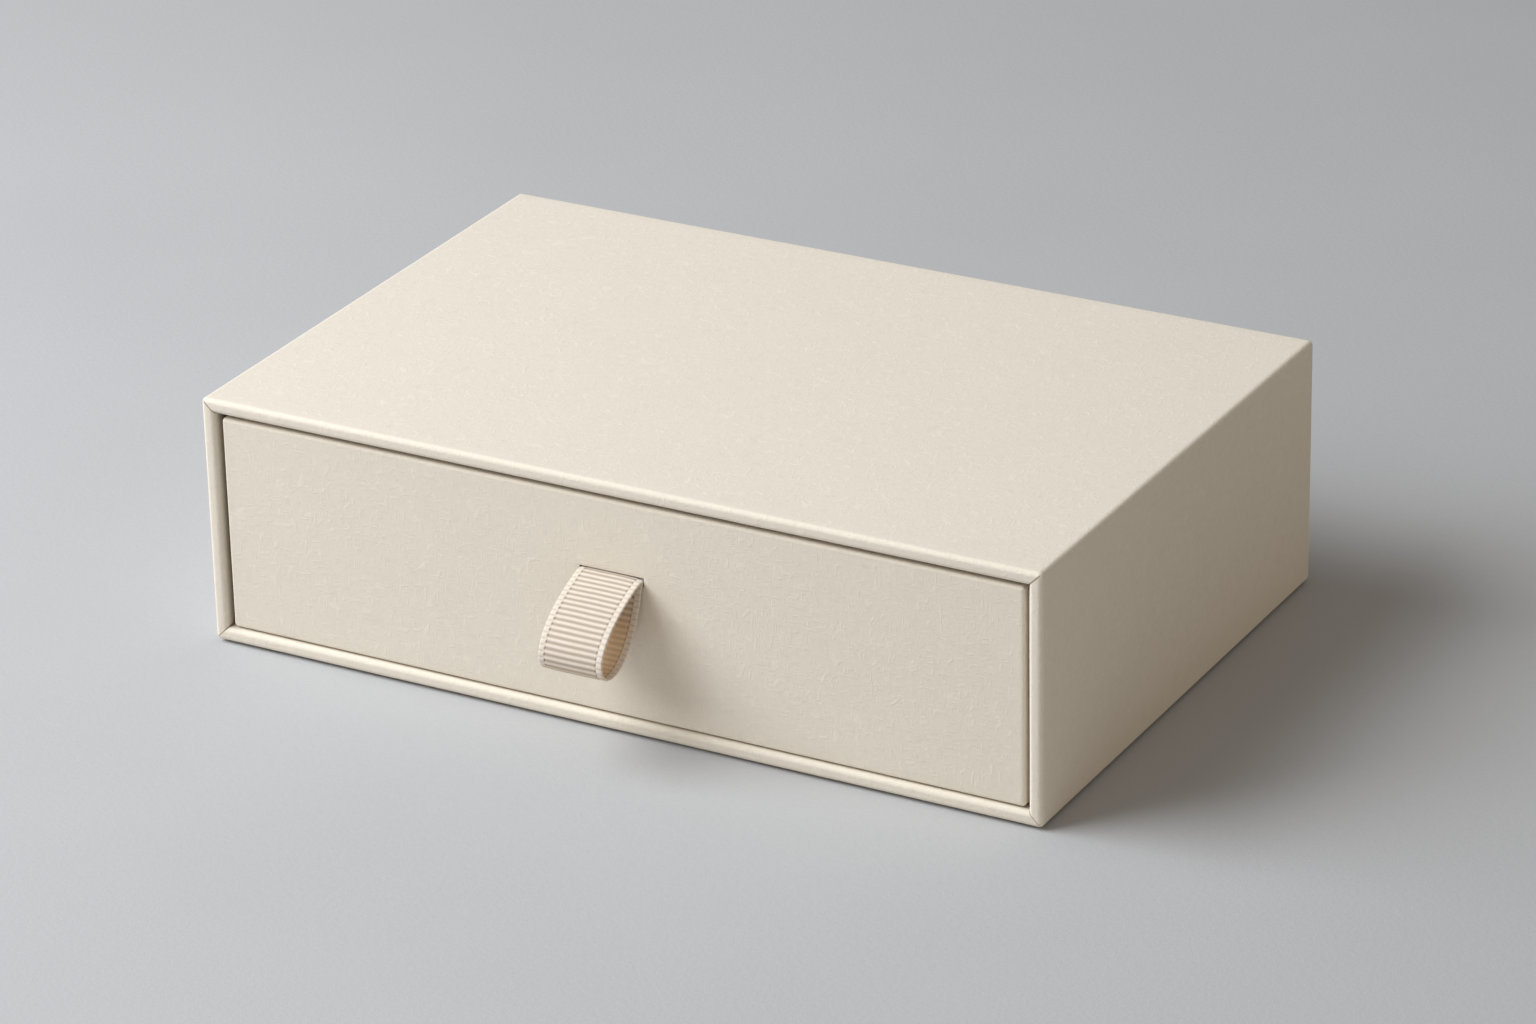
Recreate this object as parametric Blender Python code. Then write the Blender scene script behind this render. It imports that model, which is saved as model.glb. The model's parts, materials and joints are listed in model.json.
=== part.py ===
"""Sliding drawer gift box: a paper-wrapped board sleeve and drawer with a ribbon pull.

Metres, +Z up. The origin is the middle of the sleeve's underside, the sleeve's mouth faces -Y
and the drawer slides out along -Y. A level is a depth below the outer paper of a wall, and a
folded sheet is a line of rounded folds that is given the thickness of its paper.
"""

import math

import bpy
import numpy as np

# Sleeve, outside
WIDTH = 0.210
DEPTH = 0.140
HEIGHT = 0.060

# Sheet goods, and the line of glue between two of them
BOARD = 0.0019
BOARD_EASE = 0.0004
PAPER = 0.0002
TAPE = 0.0002
GLUE_LINE = 0.0003

# Folds of the covering paper
EDGE_RADIUS = 0.0012
RIM_RADIUS = 0.0012
INNER_FOLD_RADIUS = 0.0002
TURN_IN = 0.010
BACK_FLAP = 0.016
COVER_BORDER = 0.0025
LINING_FOLD_RADIUS = 0.0005

# Stay tape on the corners of the boards
STAY_LEG = 0.010
STAY_MARGIN = 0.003

# How the drawer sits in the sleeve
RECESS = 0.001
SIDE_CLEARANCE = 0.0012
TOP_CLEARANCE = 0.0011
FLOOR_CLEARANCE = 0.0003
BACK_CLEARANCE = 0.0003

# Ribbon, its slot and its ends inside the drawer
RIBBON_WIDTH = 0.016
RIBBON_THICKNESS = 0.0006
SLOT_BELOW_RIM = 0.0182
SLOT_SIDE_CLEARANCE = 0.0004
SLOT_CUT_OVERRUN = 0.0002
TAIL_BELOW_TURN_IN = 0.0007
LOWER_TAIL_END = 0.018
BULGE_SLOPE = 0.0015

# Loop of the ribbon: how it leaves the slot and comes back, as pulls on one cubic curve
ROOT_GAP = 0.00015
LEAVING_PULL = 0.037
LEAVING_PITCH = math.radians(18)
RETURNING_PULL = 0.0315
RETURNING_PITCH = math.radians(75)

# Counts
FOLD_STEPS = 5
LOOP_STEPS = 60
ROOT_STEPS = 10
EASE_SEGMENTS = 2

# Levels in a wall that has stay tape, in a drawer's base and in the sleeve's back
STAY_LEVEL = PAPER + GLUE_LINE
BOARD_LEVEL = STAY_LEVEL + TAPE + GLUE_LINE
LINING_LEVEL = BOARD_LEVEL + BOARD + GLUE_LINE
WALL = LINING_LEVEL + PAPER
BASE_BOARD_LEVEL = PAPER + GLUE_LINE
BASE_LINING_LEVEL = BASE_BOARD_LEVEL + BOARD + GLUE_LINE
BASE_WALL = BASE_LINING_LEVEL + PAPER
FLAP_LEVEL = PAPER + GLUE_LINE
BACK_BOARD_LEVEL = FLAP_LEVEL + PAPER + GLUE_LINE
BACK_LINING_LEVEL = BACK_BOARD_LEVEL + BOARD + GLUE_LINE
BACK_WALL = BACK_LINING_LEVEL + PAPER

# Drawer, outside
DRAWER_WIDTH = WIDTH - 2 * (WALL + SIDE_CLEARANCE)
DRAWER_DEPTH = DEPTH - RECESS - BACK_WALL - BACK_CLEARANCE
DRAWER_HEIGHT = HEIGHT - 2 * WALL - TOP_CLEARANCE - FLOOR_CLEARANCE
DRAWER_PLACE = (0, RECESS - DEPTH / 2, WALL + FLOOR_CLEARANCE)

# Slot and root of the loop, and where the upper end of the ribbon stops short of the wrap
SLOT_ABOVE_UNDERSIDE = DRAWER_HEIGHT - SLOT_BELOW_RIM
UPPER_TAIL_END = SLOT_BELOW_RIM - TURN_IN - TAIL_BELOW_TURN_IN
RIBBON_OFFSET = ROOT_GAP + RIBBON_THICKNESS / 2
ROOT_RADIUS = ROOT_GAP + RIBBON_THICKNESS
SLOT_HALF_HEIGHT = ROOT_RADIUS + GLUE_LINE
SLOT_HALF_WIDTH = RIBBON_WIDTH / 2 + SLOT_SIDE_CLEARANCE
LOOP_PLACE = (0, -ROOT_RADIUS - GLUE_LINE, SLOT_ABOVE_UNDERSIDE)
TAIL_LEVEL = LINING_LEVEL + RIBBON_THICKNESS / 2

# Linear colours of the materials
CREAM_PAPER = (0.760, 0.690, 0.590)
CREAM_LINING = (0.780, 0.715, 0.620)
GREYBOARD = (0.330, 0.310, 0.280)
KRAFT_TAPE = (0.480, 0.330, 0.190)
CREAM_RIBBON = (0.720, 0.620, 0.480)

# Roughness of the materials
PAPER_ROUGHNESS = 0.80
BOARD_ROUGHNESS = 0.95
TAPE_ROUGHNESS = 0.70
RIBBON_ROUGHNESS = 0.85

SMOOTH_ANGLE = math.radians(40)
SIDES = {"left": -1, "right": 1}


def clear_scene():
    for item in list(bpy.data.objects):
        bpy.data.objects.remove(item, do_unlink=True)


def add_empty(name, place, parent=None):
    """A frame that pieces are parented to."""
    frame = bpy.data.objects.new(name, None)
    frame.location = place
    frame.parent = parent
    bpy.context.collection.objects.link(frame)
    return frame


def add_mesh(name, points, faces, frame):
    """An object from points and faces, with its faces turned outwards and round folds smooth."""
    mesh = bpy.data.meshes.new(name)
    mesh.from_pydata([tuple(point) for point in points], [], faces)
    mesh.update()
    piece = bpy.data.objects.new(name, mesh)
    piece.parent = frame
    bpy.context.collection.objects.link(piece)
    mesh.shade_smooth()
    mesh.set_sharp_from_angle(angle=SMOOTH_ANGLE)
    return piece


def set_finish(piece, colour, roughness):
    material = bpy.data.materials.new(piece.name)
    material.use_nodes = True
    shader = material.node_tree.nodes["Principled BSDF"]
    shader.inputs["Base Color"].default_value = (*colour, 1)
    shader.inputs["Roughness"].default_value = roughness
    shader.inputs["Metallic"].default_value = 0
    piece.data.materials.append(material)


def signed_volume(points, faces):
    """Volume inside the faces, below zero when they point inwards."""
    total = 0
    for face in faces:
        first = points[face[0]]
        for second, third in zip(face[1:-1], face[2:]):
            total += np.dot(first, np.cross(points[second], points[third]))
    return total


def add_rings(name, rings, frame, closed):
    """One closed body through rings of points, ring by ring.

    Each ring is joined to the next. The last is joined to the first where closed is true, and
    otherwise the two end rings are filled.
    """
    rings = np.asarray(rings)
    count, width = rings.shape[:2]
    ring = np.arange(count if closed else count - 1)[:, None]
    point = np.arange(width)[None, :]
    next_ring = (ring + 1) % count
    next_point = (point + 1) % width
    corners = (
        ring * width + point,
        next_ring * width + point,
        next_ring * width + next_point,
        ring * width + next_point,
    )
    faces = np.stack(corners, axis=-1).reshape(-1, len(corners)).tolist()
    if not closed:
        faces.append(list(range(width)))
        faces.append(list(range(count * width - 1, (count - 1) * width - 1, -1)))
    points = rings.reshape(-1, 3)
    if signed_volume(points, faces) < 0:
        faces = [face[::-1] for face in faces]
    return add_mesh(name, points, faces, frame)


def add_box(name, low, high, frame):
    """A sharp box between its lowest and highest corner."""
    (x0, y0, z0), (x1, y1, z1) = low, high
    outline = ((x0, y0), (x1, y0), (x1, y1), (x0, y1))
    rings = [[(x, y, z) for x, y in outline] for z in (z0, z1)]
    return add_rings(name, rings, frame, closed=False)


def add_board(name, low, high, frame):
    """A greyboard panel with its cut edges eased."""
    piece = add_box(name, low, high, frame)
    ease = piece.modifiers.new("eased edges", "BEVEL")
    ease.width = min(BOARD_EASE, BOARD / 3)
    ease.segments = EASE_SEGMENTS
    ease.limit_method = "NONE"
    set_finish(piece, GREYBOARD, BOARD_ROUGHNESS)
    return piece


def rounded_outline(half_width, half_height, radius):
    """Points round a rectangle with arcs at its corners, anticlockwise from the right."""
    turn = np.linspace(0, math.pi / 2, FOLD_STEPS + 1)
    arcs = []
    for quarter in range(4):
        angle = turn + quarter * math.pi / 2
        right = 1 if quarter in (0, 3) else -1
        up = 1 if quarter in (0, 1) else -1
        across = right * (half_width - radius) + radius * np.cos(angle)
        along = up * (half_height - radius) + radius * np.sin(angle)
        arcs.append(np.column_stack([across, along]))
    return np.vstack(arcs)


def folded_line(corners, radius, shift=0, closed=False):
    """Points along a line through corners, each corner rounded to an arc of the radius.

    The shift moves the line to its left. An arc that turns left tightens by the shift, and one
    that turns right opens by it, so two shifts of one line are the two faces of a folded sheet.
    """
    corners = np.asarray(corners, dtype=float)
    runs = np.roll(corners, -1, axis=0) - corners
    if not closed:
        runs = runs[:-1]
    along = runs / np.linalg.norm(runs, axis=1)[:, None]
    left = np.column_stack([-along[:, 1], along[:, 0]])
    folds = range(len(corners)) if closed else range(1, len(corners) - 1)
    turned = np.linspace(0, 1, FOLD_STEPS + 1)
    points = [] if closed else [[corners[0] + shift * left[0]]]
    for index in folds:
        before, after = along[index - 1], along[index]
        side = np.sign(before[0] * after[1] - before[1] * after[0])
        angle = math.acos(np.dot(before, after))
        bend = radius - side * shift
        middle = (left[index - 1] + left[index]) / (1 + np.dot(left[index - 1], left[index]))
        start = corners[index] + shift * middle - before * bend * math.tan(angle / 2)
        centre = start + side * bend * left[index - 1]
        spoke = start - centre
        sweep = side * angle * turned
        across = spoke[0] * np.cos(sweep) - spoke[1] * np.sin(sweep)
        upward = spoke[0] * np.sin(sweep) + spoke[1] * np.cos(sweep)
        points.append(centre + np.column_stack([across, upward]))
    if not closed:
        points.append([corners[-1] + shift * left[-1]])
    return np.vstack(points)


def add_strip(name, front, back, low, high, lift, frame, closed=False):
    """A sheet between two lines, drawn out from low to high.

    lift(across, up, out) gives the place of a point of the lines at a distance drawn out.
    """
    rings = []
    for (across, up), (back_across, back_up) in zip(front, back):
        ring = (
            lift(across, up, low),
            lift(across, up, high),
            lift(back_across, back_up, high),
            lift(back_across, back_up, low),
        )
        rings.append(ring)
    return add_rings(name, rings, frame, closed)


def fold_radius(wanted):
    """A fold round the edge of a wall, which can't be wider than half the wall."""
    return min(wanted, WALL * 0.45)


def corner_radius(level):
    """Radius of a wrap's upright corner at a level of the wall."""
    return max(EDGE_RADIUS - level, INNER_FOLD_RADIUS)


# Sleeve


def add_sleeve_boards(frame):
    """Four boards in a tube and one across its back, each a glue line from the next."""
    side = WIDTH / 2 - BOARD_LEVEL
    top = HEIGHT - BOARD_LEVEL
    front = BASE_BOARD_LEVEL - DEPTH / 2
    back = DEPTH / 2 - BACK_BOARD_LEVEL
    inside_back = back - BOARD - GLUE_LINE
    add_board("sleeve_top_board", (-side, front, top - BOARD), (side, inside_back, top), frame)
    add_board(
        "sleeve_bottom_board",
        (-side, front, BOARD_LEVEL),
        (side, inside_back, BOARD_LEVEL + BOARD),
        frame,
    )
    low = BOARD_LEVEL + BOARD + GLUE_LINE
    high = top - BOARD - GLUE_LINE
    for word, sign in SIDES.items():
        near, far = sorted((sign * side, sign * (side - BOARD)))
        add_board(f"sleeve_{word}_board", (near, front, low), (far, inside_back, high), frame)
    add_board("sleeve_back_board", (-side, back - BOARD, BOARD_LEVEL), (side, back, top), frame)


def add_stay(name, half_width, half_height, low, high, lift, frame):
    """Tape folded over one corner of the boards, at the stays' level."""
    corners = ((-STAY_LEG, 0), (0, 0), (0, -STAY_LEG))
    radius = max(EDGE_RADIUS - STAY_LEVEL, TAPE + INNER_FOLD_RADIUS)
    corner = (half_width - STAY_LEVEL, half_height - STAY_LEVEL)
    front = folded_line(corners, radius) + corner
    back = folded_line(corners, radius, shift=-TAPE) + corner
    piece = add_strip(name, front, back, low, high, lift, frame)
    set_finish(piece, KRAFT_TAPE, TAPE_ROUGHNESS)


def add_sleeve_stays(frame):
    """Stay tape along the four long corners of the tube."""
    low = STAY_MARGIN - DEPTH / 2
    high = DEPTH / 2 - BACK_BOARD_LEVEL - STAY_MARGIN
    for level_word, up in (("top", 1), ("bottom", -1)):
        for word, right in SIDES.items():

            def lift(across, height, out, right=right, up=up):
                return right * across, out, HEIGHT / 2 + up * height

            name = f"sleeve_stay_{level_word}_{word}"
            add_stay(name, WIDTH / 2, HEIGHT / 2, low, high, lift, frame)


def add_sleeve_wrap(frame):
    """Paper turned in over the mouth's rim, along the four sides and over the back's edges."""
    flap_plane = DEPTH - FLAP_LEVEL
    corners = (
        (WALL, TURN_IN),
        (WALL, 0),
        (0, 0),
        (0, flap_plane),
        (BACK_FLAP, flap_plane),
    )
    radius = fold_radius(RIM_RADIUS)
    outer = folded_line(corners, radius)
    inner = folded_line(corners, radius, shift=-PAPER)
    rings = []
    for level, from_mouth in np.vstack([outer, inner[::-1]]):
        outline = rounded_outline(WIDTH / 2 - level, HEIGHT / 2 - level, corner_radius(level))
        place = np.full(len(outline), from_mouth - DEPTH / 2)
        rings.append(np.column_stack([outline[:, 0], place, outline[:, 1] + HEIGHT / 2]))
    piece = add_rings("sleeve_wrap", rings, frame, closed=True)
    set_finish(piece, CREAM_PAPER, PAPER_ROUGHNESS)


def add_sleeve_back_cover(frame):
    """Sheet over the flaps on the back, a narrow border short of the edges."""
    side = WIDTH / 2 - COVER_BORDER
    low = (-side, DEPTH / 2 - PAPER, COVER_BORDER)
    high = (side, DEPTH / 2, HEIGHT - COVER_BORDER)
    piece = add_box("sleeve_back_cover", low, high, frame)
    set_finish(piece, CREAM_PAPER, PAPER_ROUGHNESS)


def add_sleeve_tube_lining(frame):
    """Paper round the inside of the tube, from the turned-in wrap to the back."""
    side = WIDTH / 2 - LINING_LEVEL
    half_height = HEIGHT / 2 - LINING_LEVEL
    corners = (
        (side, half_height),
        (-side, half_height),
        (-side, -half_height),
        (side, -half_height),
    )
    outer = folded_line(corners, LINING_FOLD_RADIUS, closed=True)
    inner = folded_line(corners, LINING_FOLD_RADIUS, shift=PAPER, closed=True)
    low = TURN_IN + GLUE_LINE - DEPTH / 2
    high = DEPTH / 2 - BACK_WALL - GLUE_LINE

    def lift(across, up, out):
        return across, out, HEIGHT / 2 + up

    piece = add_strip("sleeve_tube_lining", outer, inner, low, high, lift, frame, closed=True)
    set_finish(piece, CREAM_LINING, PAPER_ROUGHNESS)


def add_sleeve_back_lining(frame):
    """Paper on the inside of the back board."""
    side = WIDTH / 2 - LINING_LEVEL
    back = DEPTH / 2 - BACK_LINING_LEVEL
    low = (-side, back - PAPER, LINING_LEVEL)
    high = (side, back, HEIGHT - LINING_LEVEL)
    piece = add_box("sleeve_back_lining", low, high, frame)
    set_finish(piece, CREAM_LINING, PAPER_ROUGHNESS)


# Drawer, from the middle of its front face's lower edge


def add_drawer_boards(frame):
    """A base board with four wall boards standing on it, each a glue line from the next."""
    side = DRAWER_WIDTH / 2 - BOARD_LEVEL
    front = BOARD_LEVEL
    back = DRAWER_DEPTH - BOARD_LEVEL
    base_top = BASE_BOARD_LEVEL + BOARD
    low = base_top + GLUE_LINE
    high = DRAWER_HEIGHT - BASE_BOARD_LEVEL
    add_board("drawer_base_board", (-side, front, BASE_BOARD_LEVEL), (side, back, base_top), frame)
    add_board("drawer_back_board", (-side, back - BOARD, low), (side, back, high), frame)
    gap = BOARD + GLUE_LINE
    for word, sign in SIDES.items():
        near, far = sorted((sign * side, sign * (side - BOARD)))
        add_board(f"drawer_{word}_board", (near, front + gap, low), (far, back - gap, high), frame)
    return add_board("drawer_front_board", (-side, front, low), (side, front + BOARD, high), frame)


def add_drawer_stays(frame):
    """Stay tape down the four upright corners of the drawer."""
    low = STAY_MARGIN
    high = DRAWER_HEIGHT - STAY_MARGIN
    for end_word, rearward in (("front", -1), ("back", 1)):
        for word, right in SIDES.items():

            def lift(across, along, out, right=right, rearward=rearward):
                return right * across, DRAWER_DEPTH / 2 + rearward * along, out

            name = f"drawer_stay_{end_word}_{word}"
            add_stay(name, DRAWER_WIDTH / 2, DRAWER_DEPTH / 2, low, high, lift, frame)


def add_drawer_wrap(frame):
    """Paper under the base, up the four walls and turned in over their rim."""
    corners = (
        (TURN_IN, 0),
        (0, 0),
        (0, DRAWER_HEIGHT),
        (WALL, DRAWER_HEIGHT),
        (WALL, DRAWER_HEIGHT - TURN_IN),
    )
    radius = fold_radius(RIM_RADIUS)
    outer = folded_line(corners, radius)
    inner = folded_line(corners, radius, shift=-PAPER)
    rings = []
    for level, up in np.vstack([outer, inner[::-1]]):
        half_width = DRAWER_WIDTH / 2 - level
        half_depth = DRAWER_DEPTH / 2 - level
        outline = rounded_outline(half_width, half_depth, corner_radius(level))
        height = np.full(len(outline), up)
        rings.append(np.column_stack([outline[:, 0], outline[:, 1] + DRAWER_DEPTH / 2, height]))
    piece = add_rings("drawer_wrap", rings, frame, closed=False)
    set_finish(piece, CREAM_PAPER, PAPER_ROUGHNESS)
    return piece


def add_drawer_wall_lining(frame):
    """Paper strip round the inside of the walls, standing out over the ribbon's ends."""
    side = DRAWER_WIDTH / 2 - LINING_LEVEL
    front = LINING_LEVEL
    back = DRAWER_DEPTH - LINING_LEVEL
    bulge = front + RIBBON_THICKNESS + GLUE_LINE
    bulge_half = RIBBON_WIDTH / 2 + GLUE_LINE + PAPER
    corners = (
        (side, front),
        (side, back),
        (-side, back),
        (-side, front),
        (-bulge_half - BULGE_SLOPE, front),
        (-bulge_half, bulge),
        (bulge_half, bulge),
        (bulge_half + BULGE_SLOPE, front),
    )
    outer = folded_line(corners, LINING_FOLD_RADIUS, closed=True)
    inner = folded_line(corners, LINING_FOLD_RADIUS, shift=PAPER, closed=True)
    low = BASE_WALL + GLUE_LINE
    high = DRAWER_HEIGHT - TURN_IN - GLUE_LINE

    def lift(across, along, out):
        return across, along, out

    piece = add_strip("drawer_wall_lining", outer, inner, low, high, lift, frame, closed=True)
    set_finish(piece, CREAM_LINING, PAPER_ROUGHNESS)


def add_drawer_floor_lining(frame):
    """Paper sheet on the base board, under the foot of the wall lining."""
    side = DRAWER_WIDTH / 2 - LINING_LEVEL
    low = (-side, LINING_LEVEL, BASE_LINING_LEVEL)
    high = (side, DRAWER_DEPTH - LINING_LEVEL, BASE_WALL)
    piece = add_box("drawer_floor_lining", low, high, frame)
    set_finish(piece, CREAM_LINING, PAPER_ROUGHNESS)


def add_ribbon_tail(name, up, end, frame):
    """One end of the ribbon: in through the slot, then up or down the front board's inside."""
    corners = (
        (0, SLOT_ABOVE_UNDERSIDE + up * RIBBON_OFFSET),
        (TAIL_LEVEL, SLOT_ABOVE_UNDERSIDE + up * RIBBON_OFFSET),
        (TAIL_LEVEL, SLOT_ABOVE_UNDERSIDE + up * end),
    )
    radius = GLUE_LINE + RIBBON_THICKNESS / 2
    front = folded_line(corners, radius, shift=RIBBON_THICKNESS / 2)
    back = folded_line(corners, radius, shift=-RIBBON_THICKNESS / 2)

    def lift(along, height, out):
        return out, along, height

    half = RIBBON_WIDTH / 2
    piece = add_strip(name, front, back, -half, half, lift, frame)
    set_finish(piece, CREAM_RIBBON, RIBBON_ROUGHNESS)


def cut_ribbon_slot(pieces, frame):
    """The slot through the front board and the wrap, which both tails pass."""
    low = (-SLOT_HALF_WIDTH, -SLOT_CUT_OVERRUN, SLOT_ABOVE_UNDERSIDE - SLOT_HALF_HEIGHT)
    high_depth = BOARD_LEVEL + BOARD + SLOT_CUT_OVERRUN
    high = (SLOT_HALF_WIDTH, high_depth, SLOT_ABOVE_UNDERSIDE + SLOT_HALF_HEIGHT)
    cutter = add_box("ribbon_slot_cutter", low, high, frame)
    cutter.hide_render = True
    cutter.display_type = "WIRE"
    for piece in pieces:
        cut = piece.modifiers.new("ribbon slot", "BOOLEAN")
        cut.operation = "DIFFERENCE"
        cut.solver = "EXACT"
        cut.object = cutter


# Ribbon pull, from the axis that its root turns on


def loop_line(shift):
    """The closed band of the loop in (outward, up), shifted outwards by a distance.

    One cubic curve runs out along the leaving direction and back along the returning one. A
    short arc round the axis joins its two ends.
    """
    leaving = np.array([math.cos(LEAVING_PITCH), -math.sin(LEAVING_PITCH)])
    returning = np.array([math.cos(RETURNING_PITCH), -math.sin(RETURNING_PITCH)])
    start = RIBBON_OFFSET * np.array([-leaving[1], leaving[0]])
    end = RIBBON_OFFSET * np.array([returning[1], -returning[0]])
    t = np.linspace(0, 1, LOOP_STEPS + 1)[:, None]
    pulls = (start, start + LEAVING_PULL * leaving, end + RETURNING_PULL * returning, end)
    weights = ((1 - t) ** 3, 3 * (1 - t) ** 2 * t, 3 * (1 - t) * t**2, t**3)
    curve = sum(weight * pull for weight, pull in zip(weights, pulls))
    slope_weights = ((1 - t) ** 2, 2 * (1 - t) * t, t**2)
    slope = sum(
        weight * (after - before)
        for weight, before, after in zip(slope_weights, pulls[:-1], pulls[1:])
    )
    slope /= np.linalg.norm(slope, axis=1)[:, None]
    outward = np.column_stack([-slope[:, 1], slope[:, 0]])
    first = math.atan2(end[1], end[0]) % math.tau
    last = math.atan2(start[1], start[0])
    angle = np.linspace(first, last, ROOT_STEPS + 1)[1:-1]
    root = (RIBBON_OFFSET + shift) * np.column_stack([np.cos(angle), np.sin(angle)])
    return np.vstack([curve + shift * outward, root])


def add_pull_loop(frame):
    """The loop of ribbon in front of the drawer."""
    outer = loop_line(RIBBON_THICKNESS / 2)
    inner = loop_line(-RIBBON_THICKNESS / 2)

    def lift(outward, up, out):
        return out, -outward, up

    half = RIBBON_WIDTH / 2
    piece = add_strip("pull_loop", outer, inner, -half, half, lift, frame, closed=True)
    set_finish(piece, CREAM_RIBBON, RIBBON_ROUGHNESS)


def main():
    clear_scene()
    sleeve = add_empty("sleeve_frame", (0, 0, 0))
    add_sleeve_boards(sleeve)
    add_sleeve_stays(sleeve)
    add_sleeve_wrap(sleeve)
    add_sleeve_back_cover(sleeve)
    add_sleeve_tube_lining(sleeve)
    add_sleeve_back_lining(sleeve)
    drawer = add_empty("drawer_frame", DRAWER_PLACE, sleeve)
    front_board = add_drawer_boards(drawer)
    add_drawer_stays(drawer)
    wrap = add_drawer_wrap(drawer)
    add_drawer_wall_lining(drawer)
    add_drawer_floor_lining(drawer)
    add_ribbon_tail("ribbon_upper_tail", 1, UPPER_TAIL_END, drawer)
    add_ribbon_tail("ribbon_lower_tail", -1, LOWER_TAIL_END, drawer)
    cut_ribbon_slot((front_board, wrap), drawer)
    loop = add_empty("loop_frame", LOOP_PLACE, drawer)
    add_pull_loop(loop)


main()
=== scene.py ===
"""Looks of the sliding drawer gift box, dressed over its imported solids.

Metres, +Z up. The sleeve's mouth faces -Y and the drawer slides out along -Y. A covering paper
is a folded profile carried round a rounded outline. A level is a depth below the outer paper of
a wall, so the profile is drawn in (level, distance along the walls).
"""

import json
import math

import bpy
import numpy as np
from mathutils import Matrix, Vector


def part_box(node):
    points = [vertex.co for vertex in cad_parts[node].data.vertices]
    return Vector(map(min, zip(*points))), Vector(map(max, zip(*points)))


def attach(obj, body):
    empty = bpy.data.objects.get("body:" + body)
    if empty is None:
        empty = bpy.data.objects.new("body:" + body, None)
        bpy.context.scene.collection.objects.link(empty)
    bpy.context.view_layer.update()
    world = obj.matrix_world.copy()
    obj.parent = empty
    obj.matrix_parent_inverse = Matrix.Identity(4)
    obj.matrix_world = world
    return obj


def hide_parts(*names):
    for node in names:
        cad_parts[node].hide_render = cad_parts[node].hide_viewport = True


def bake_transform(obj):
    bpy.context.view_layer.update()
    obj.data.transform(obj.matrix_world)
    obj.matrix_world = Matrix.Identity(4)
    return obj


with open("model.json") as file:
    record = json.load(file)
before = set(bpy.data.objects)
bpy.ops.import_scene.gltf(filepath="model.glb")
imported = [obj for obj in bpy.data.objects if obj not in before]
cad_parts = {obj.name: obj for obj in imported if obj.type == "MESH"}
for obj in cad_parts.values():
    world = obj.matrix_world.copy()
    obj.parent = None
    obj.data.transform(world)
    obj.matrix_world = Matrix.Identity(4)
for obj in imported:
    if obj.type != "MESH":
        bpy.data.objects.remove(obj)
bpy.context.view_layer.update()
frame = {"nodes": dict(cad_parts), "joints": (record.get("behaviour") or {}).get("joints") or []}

MM = 0.001
WHOLE_TURN = 2 * math.pi
QUARTER_TURN = math.pi / 2

# Sleeve, drawer and ribbon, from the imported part
SLEEVE_LOW, SLEEVE_HIGH = np.array(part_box("sleeve_wrap"))
DRAWER_LOW, DRAWER_HIGH = np.array(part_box("drawer_wrap"))
LINING_LOW, LINING_HIGH = np.array(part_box("drawer_wall_lining"))
_, UPPER_TAIL_HIGH = np.array(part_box("ribbon_upper_tail"))
LOWER_TAIL_LOW, _ = np.array(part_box("ribbon_lower_tail"))
SLEEVE_SIZE = SLEEVE_HIGH - SLEEVE_LOW
DRAWER_SIZE = DRAWER_HIGH - DRAWER_LOW
HINGE = np.array(
    next(joint["pos_m"] for joint in frame["joints"] if joint["name"] == "ribbon_swing")
)
DRAWER_FACE = HINGE[1] - DRAWER_LOW[1]

# Sheet goods, as in the part
WALL = 3.4 * MM
PAPER = 0.2 * MM
TURN_IN = 10 * MM
BACK_FLAP = 16 * MM

# Sides of an outline in (across, up). Down is the sleeve's underside and the drawer's front.
RIGHT, LEFT, DOWN = 0, 2, 3

# Folds and grids of the papers
SLEEVE_FOLD_RADIUS = 1.2 * MM
DRAWER_FOLD_RADIUS = 0.85 * MM
INNER_FOLD_RADIUS = 0.2 * MM
LINING_FOLD_RADIUS = 0.5 * MM
FOLD_STEPS = 12
PAPER_GRID = 2.6 * MM
LINING_GRID = 3 * MM
CORNER_STEPS = MM * np.array([0, 0.03, 0.06, 0.1, 0.16, 0.26, 0.42, 0.66, 0.95, 1.4, 2.0, 2.8])
LINING_CORNER_STEPS = MM * np.array([0, 0.13, 0.26, 0.4, 0.8, 1.6])
FAR_FROM_CORNER = 1.0

# Relief of the papers. A place is on the outer face where its level is under OUTER_FACE. An edge
# is painted paler, partly as wear and partly as a painted highlight, where its level is under the
# constant after OUTER_FACE.
OUTER_FACE = 0.01 * MM
WEAR_AND_HIGHLIGHT_LEVEL = 0.8 * MM
FOLD_WAVE = 7 * MM
MITRE_DEPTH = 0.11 * MM
MITRE_WIDTH = 0.075 * MM
MITRE_LINE = 0.13 * MM
FLAP_STEP = 0.06 * MM
OVERLAP_STEP = 0.12 * MM
SLEEVE_OVERLAP = 12 * MM
DRAWER_OVERLAP = 11 * MM
LIP_DIP = 0.09 * MM
LIP_WIDTH = 0.45 * MM
LINING_SLOPE = 1.9 * MM
LINING_MARGIN = 0.3 * MM

# Ribbon and its slot, as in the part
RIBBON_WIDTH = 16 * MM
RIBBON_THICKNESS = 0.6 * MM
RIBBON_OFFSET = 0.45 * MM
GLUE_LINE = 0.3 * MM
SLOT_UP = HINGE[2] - DRAWER_LOW[2]
SLOT_HALF_WIDTH = RIBBON_WIDTH / 2 + 0.08 * MM
SLOT_HALF_HEIGHT = 1.05 * MM
SLOT_TOP = 1.05 * MM

# Course of the ribbon
TAIL_SHORTER = 0.9 * MM
LEAVING_PULL = 37 * MM
LEAVING_PITCH = math.radians(18)
RETURNING_PULL = 31.5 * MM
RETURNING_PITCH = math.radians(75)
LINE_STEP = 0.04 * MM
SOFTENED_STEPS = 9
CUP = 0.10 * MM
DROOP = 0.2 * MM

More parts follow.
